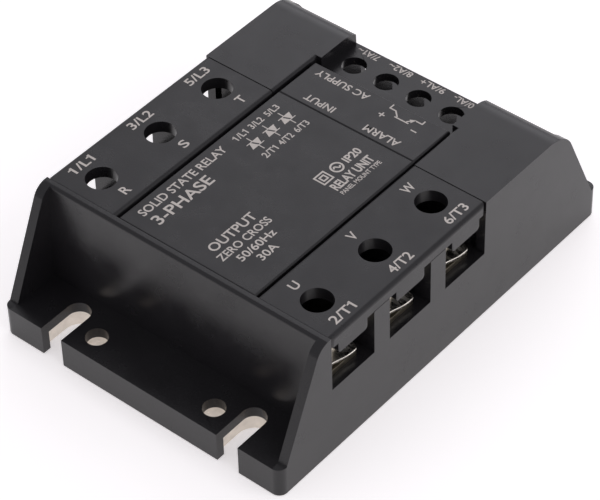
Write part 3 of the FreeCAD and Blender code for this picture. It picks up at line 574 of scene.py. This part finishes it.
def deck_print():
    """Terminal marks behind the control driver holes."""
    sheet = Sheet("deck_print", DECK_TOP * MM, HOUSING)
    for index, (mark, run) in zip(CONTROL, DECK_WORDS):
        x = middle_of(f"control_screw_{index}").x / MM
        sheet.words(mark, x, DECK_WORDS_Y, run, DECK_WORDS_HEIGHT, REARWARD)
    return sheet.finish()


# ---------------------------------------------------------------- screws and clamps
def smooth_metres(mesh):
    """Turn a mesh in millimetres into a smooth one in metres."""
    mesh.transform(Matrix.Diagonal((MM, MM, MM, 1.0)))
    for face in mesh.polygons:
        face.use_smooth = True
    return mesh


def scaled(made, name):
    """Smooth mesh in metres from a bmesh drawn in millimetres."""
    bmesh.ops.recalc_face_normals(made, faces=made.faces)
    return smooth_metres(mesh_from(made, name))


def lathe(profile, count=48):
    """Closed body of revolution round Z; the profile runs from the axis out and back to the axis."""
    made = bmesh.new()
    rings = []
    for radius, z in profile:
        if radius < 1e-6:
            rings.append([made.verts.new((0, 0, z))])
            continue
        rings.append([made.verts.new((radius * math.cos(2 * math.pi * step / count),
                                      radius * math.sin(2 * math.pi * step / count), z))
                      for step in range(count)])
    for low, high in zip(rings, rings[1:]):
        for step in range(count):
            after = (step + 1) % count
            if len(low) == 1:
                made.faces.new((low[0], high[step], high[after]))
            elif len(high) == 1:
                made.faces.new((low[step], low[after], high[0]))
            else:
                made.faces.new((low[step], low[after], high[after], high[step]))
    return made


def cross_cutter(reach, width, top, depth):
    """Two tapering blades at right angles, joined, that cut a cross recess."""
    made = bmesh.new()
    tip = 0.35
    for turn in (0.0, 90.0):
        spin = Matrix.Rotation(math.radians(turn), 3, "Z")
        lift = top + 0.5
        corners = []
        for long, wide, z in ((reach * 1.12, width, lift), (reach * tip, width * 0.8, top - depth)):
            corners.append([made.verts.new(spin @ Vector((sx * long, sy * wide / 2, z)))
                            for sx, sy in ((-1, -1), (1, -1), (1, 1), (-1, 1))])
        high, low = corners
        made.faces.new(high)
        made.faces.new(low[::-1])
        for step in range(4):
            after = (step + 1) % 4
            made.faces.new((high[after], high[step], low[step], low[after]))
    return made


def carved(body, cutter):
    """Mesh of one bmesh less another."""
    objects = []
    for made in (body, cutter):
        bmesh.ops.recalc_face_normals(made, faces=made.faces)
        obj = bpy.data.objects.new("carved", mesh_from(made, "carved"))
        bpy.context.scene.collection.objects.link(obj)
        objects.append(obj)
    whole, tool = objects
    cut = whole.modifiers.new("cut", "BOOLEAN")
    cut.operation = "DIFFERENCE"
    cut.solver = "EXACT"
    cut.use_self = True
    cut.object = tool
    graph = bpy.context.evaluated_depsgraph_get()
    mesh = bpy.data.meshes.new_from_object(whole.evaluated_get(graph))
    for obj in objects:
        data = obj.data
        bpy.data.objects.remove(obj)
        bpy.data.meshes.remove(data)
    return smooth_metres(mesh)


def screw_mesh(foot, top, tip, head_radius, shank_radius, pitch, recess):
    """Pan-head screw: threaded shank, domed head and cross recess."""
    core = shank_radius - 0.28 * pitch
    profile = [(0, tip), (core * 0.75, tip), (core, tip + 0.3)]
    z = tip + 0.3
    while z + pitch < foot - 0.2:
        profile += [(shank_radius, z + pitch * 0.45), (shank_radius, z + pitch * 0.55), (core, z + pitch)]
        z += pitch
    rise = top - foot
    profile += [(core, foot), (head_radius - 0.25, foot), (head_radius, foot + 0.25)]
    for step in range(0, 7):
        turn = math.pi / 2 * step / 6
        profile.append((head_radius * (0.72 + 0.28 * math.cos(turn)),
                        foot + rise * (0.42 + 0.46 * math.sin(turn))))
    profile += [(head_radius * 0.45, top - rise * 0.03), (0, top)]
    reach, width, depth = recess
    return carved(lathe(profile), cross_cutter(reach, width, top, depth))


def spring_washer(inner, outer, low, thick, offset):
    """Split ring whose ends stand apart."""
    made = bmesh.new()
    count, gap = 44, 0.16
    loops = []
    for step in range(count + 1):
        turn = gap / 2 + (2 * math.pi - gap) * step / count
        rise = offset * step / count
        loops.append([made.verts.new((radius * math.cos(turn), radius * math.sin(turn), low + rise + z))
                      for radius, z in ((inner, 0), (outer, 0), (outer, thick), (inner, thick))])
    for first, second in zip(loops, loops[1:]):
        for step in range(4):
            after = (step + 1) % 4
            made.faces.new((first[step], first[after], second[after], second[step]))
    made.faces.new(loops[0])
    made.faces.new(loops[-1][::-1])
    return made


def pierced_plate(half_x, half_y, hole, corner, height, thick, rings=9, count=72):
    """Rectangular sheet with a round hole; its underside follows height(x, y)."""
    made = bmesh.new()

    def edge_point(turn):
        """Where a ray from the middle meets the rounded rectangle."""
        way_x, way_y = math.cos(turn), math.sin(turn)
        reach = min(half_x / max(abs(way_x), 1e-9), half_y / max(abs(way_y), 1e-9))
        x, y = way_x * reach, way_y * reach
        over_x, over_y = abs(x) - (half_x - corner), abs(y) - (half_y - corner)
        if over_x > 0 and over_y > 0:
            away = math.hypot(over_x, over_y)
            x = math.copysign(half_x - corner + over_x * corner / away, x)
            y = math.copysign(half_y - corner + over_y * corner / away, y)
        return x, y

    columns = []
    for step in range(count):
        turn = 2 * math.pi * step / count
        start_x, start_y = hole * math.cos(turn), hole * math.sin(turn)
        end_x, end_y = edge_point(turn)
        column = []
        for ring in range(rings + 1):
            part = ring / rings
            x, y = start_x + (end_x - start_x) * part, start_y + (end_y - start_y) * part
            z = height(x, y)
            column.append((made.verts.new((x, y, z)), made.verts.new((x, y, z + thick))))
        columns.append(column)
    for step in range(count):
        here, after = columns[step], columns[(step + 1) % count]
        for ring in range(rings):
            made.faces.new((here[ring][1], here[ring + 1][1], after[ring + 1][1], after[ring][1]))
            made.faces.new((here[ring][0], after[ring][0], after[ring + 1][0], here[ring + 1][0]))
        made.faces.new((here[0][0], here[0][1], after[0][1], after[0][0]))
        made.faces.new((here[rings][1], here[rings][0], after[rings][0], after[rings][1]))
    return made


def placed(mesh, x, y, turn=0.0):
    """Move a mesh to its terminal; x and y in metres."""
    mesh.transform(Matrix.Translation((x, y, 0)) @ Matrix.Rotation(math.radians(turn), 4, "Z"))
    return mesh


# Shank and head are radii. Recess is reach, width and depth. Washer is half width and thickness.
# Spring is inner radius, outer radius and thickness. Saddle is both half widths, thickness and wave.
POWER_SIZES = {"shank": 1.9, "head": 4.0, "pitch": 0.7, "recess": (2.5, 1.0, 1.6), "washer": (3.9, 0.8),
               "spring": (2.1, 3.5, 0.75), "saddle": (6.2, 4.9, 0.75, -0.5)}
CONTROL_SIZES = {"shank": 1.4, "head": 2.7, "pitch": 0.5, "recess": (1.7, 0.75, 1.1), "turn": 0.0,
                 "saddle": (3.05, 3.05, 0.6, 0.2)}
ROOM_UNDER_WASHER = 0.05
ROOM_OVER_WASHER = 0.02
ROOM_OVER_SPRING = 0.14
SPRING_OFFSET = 0.12


def terminal_screw(clamp, screw, sizes):
    """Screw, washers and clamp of one terminal, in place of the plain ones."""
    middle = middle_of(screw)
    clamp_low, clamp_high = (corner.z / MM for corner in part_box(clamp))
    tip, top = (corner.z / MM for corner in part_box(screw))
    x, y = middle.x, middle.y
    shank = sizes["shank"]
    under_head = clamp_high + ROOM_UNDER_WASHER
    if "washer" in sizes:
        half, thick = sizes["washer"]
        flat = pierced_plate(half, half, shank + 0.1, 0.5, lambda a, b, z=under_head: z, thick, rings=2)
        mesh = placed(scaled(flat, "washer"), x, y, sizes["turn"] * 1.6)
        piece = mesh_piece(f"{screw}_square_washer", mesh, screw_nickel, clamp)
        crisp(piece, 0.06)
        under_head += thick + ROOM_OVER_WASHER
    if "spring" in sizes:
        inner, outer, thick = sizes["spring"]
        coil = spring_washer(inner, outer, under_head, thick, SPRING_OFFSET)
        mesh = placed(scaled(coil, "spring"), x, y, sizes["split"])
        piece = mesh_piece(f"{screw}_spring_washer", mesh, screw_nickel, screw)
        crisp(piece, 0.05)
        under_head += thick + ROOM_OVER_SPRING
    mesh = screw_mesh(under_head, top, tip, sizes["head"], shank, sizes["pitch"], sizes["recess"])
    mesh = placed(mesh, x, y, sizes["slot_turn"])
    formed = mesh_piece(f"{screw}_formed", mesh, screw_nickel, screw)
    crisp(formed, 0.05)
    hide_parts(screw)
    half_x, half_y, thick, wave = sizes["saddle"]
    room = clamp_high - clamp_low - thick

    def height(across, along):
        """Flat under the washer, dipping at the ends, with an edge that waves along the wire's side."""
        end = max(0.0, abs(across) - half_x * 0.62) / (half_x * 0.38)
        share = min(1.0, end * 1.4)
        ripple = math.sin(math.pi * along / half_y)
        return clamp_low + room * (1.0 - share * (0.5 + wave * ripple))

    saddle = pierced_plate(half_x, half_y, shank + 0.12, 0.7, height, thick)
    mesh = placed(scaled(saddle, "saddle"), x, y, sizes["turn"])
    piece = mesh_piece(f"{clamp}_formed", mesh, clamp_nickel, clamp)
    crisp(piece, 0.09, 50.0)
    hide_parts(clamp)


def case_screw_heads():
    """Pan heads in the base plate, with a cross recess that faces down."""
    head_radius, head_rise, shank, pitch, recess, twist = 2.4, 1.5, 1.1, 0.8, (1.5, 0.7, 1.0), 0.7
    low, high = (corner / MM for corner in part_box("case_screws"))
    reach_x, reach_y = (high.x - low.x) / 2 - head_radius, (high.y - low.y) / 2 - head_radius
    gathered = bmesh.new()
    for across in (-1, 1):
        for along in (-1, 1):
            mesh = screw_mesh(-low.z - head_rise, -low.z, -high.z, head_radius, shank, pitch, recess)
            spot = Matrix.Translation((reach_x * across * MM, reach_y * along * MM, 0))
            turned = Matrix.Rotation(math.pi, 4, "X") @ Matrix.Rotation(across * twist, 4, "Z")
            mesh.transform(spot @ turned)
            gathered.from_mesh(mesh)
            bpy.data.meshes.remove(mesh)
    mesh = mesh_from(gathered, "case_screws_formed")
    piece = mesh_piece("case_screws_formed", mesh, screw_nickel, HOUSING)
    crisp(piece, 0.05)
    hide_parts("case_screws")


def fit_terminals():
    """Formed screws and clamps of the ten terminals."""
    for side_index, side in enumerate(SIDES):
        for index in POWER:
            angles = {"turn": -8.0 + 180.0 * side_index, "split": 40.0 * index, "slot_turn": 25.0 * index}
            terminal_screw(f"{side}_clamp_{index}", f"{side}_screw_{index}", {**POWER_SIZES, **angles})
    for index in CONTROL:
        angles = {"slot_turn": 17.0 + 31.0 * index}
        terminal_screw(f"control_clamp_{index}", f"control_screw_{index}", {**CONTROL_SIZES, **angles})


# ---------------------------------------------------------------- stage
# The floor, the lamps and the point they face are in metres.
FLOOR_SIZE = 3.0
SKY_COLOR = (0.96, 0.95, 1.0, 1.0)
SKY_STRENGTH = 0.54
LIT_POINT = (0.0, 0.0, 0.01)


def build_floor():
    made = bmesh.new()
    bmesh.ops.create_grid(made, x_segments=8, y_segments=8, size=FLOOR_SIZE / 2)
    mesh = mesh_from(made, "floor")
    floor = bpy.data.objects.new("floor", mesh)
    bpy.context.scene.collection.objects.link(floor)
    mesh.materials.append(tabletop("table_paper", (0.90, 0.90, 0.90)))


def softbox(name, place, width, length, watts, color=(1.0, 1.0, 1.0)):
    """Rectangular lamp that faces the relay."""
    lamp = bpy.data.lights.new(name, "AREA")
    lamp.shape = "RECTANGLE"
    lamp.size, lamp.size_y = width, length
    lamp.energy = watts
    lamp.color = color
    obj = bpy.data.objects.new(name, lamp)
    bpy.context.scene.collection.objects.link(obj)
    obj.location = place
    obj.rotation_euler = (Vector(LIT_POINT) - Vector(place)).to_track_quat("-Z", "Y").to_euler()


def light_scene():
    world = bpy.data.worlds.new("studio")
    bpy.context.scene.world = world
    world.use_nodes = True
    background = world.node_tree.nodes["Background"]
    background.inputs["Color"].default_value = SKY_COLOR
    background.inputs["Strength"].default_value = SKY_STRENGTH
    softbox("overhead", (-0.30, 0.68, 0.50), 0.70, 0.66, 1.4, (0.97, 0.955, 1.0))
    softbox("right", (0.75, 0.05, 0.55), 0.7, 0.7, 1.6)


AZIMUTH, ELEVATION, ROLL = 40.91, 43.56, 1.72  # degrees
TARGET = Vector((5.85, -8.66, 15.75)) * MM
DISTANCE = 569.5 * MM
LENS = 167.6


def place_camera():
    camera = bpy.data.cameras.new("camera")
    camera.lens = LENS
    camera.sensor_width = 36.0
    camera.sensor_fit = "HORIZONTAL"
    camera.clip_start, camera.clip_end = 0.01, 20.0
    obj = bpy.data.objects.new("camera", camera)
    bpy.context.scene.collection.objects.link(obj)
    azimuth, elevation = math.radians(AZIMUTH), math.radians(ELEVATION)
    level = math.cos(elevation)
    outward = Vector((math.sin(azimuth) * level, -math.cos(azimuth) * level, math.sin(elevation)))
    facing = (-outward).to_track_quat("-Z", "Y").to_matrix().to_4x4()
    roll = Matrix.Rotation(math.radians(-ROLL), 4, "Z")
    obj.matrix_world = Matrix.Translation(TARGET + outward * DISTANCE) @ facing @ roll
    bpy.context.scene.camera = obj


dress_nodes()
soften_nodes()
cover_print("line")
cover_print("load")
panel_print()
deck_print()
fit_terminals()
case_screw_heads()
build_floor()
light_scene()
place_camera()
bpy.context.scene.view_settings.view_transform = "Standard"
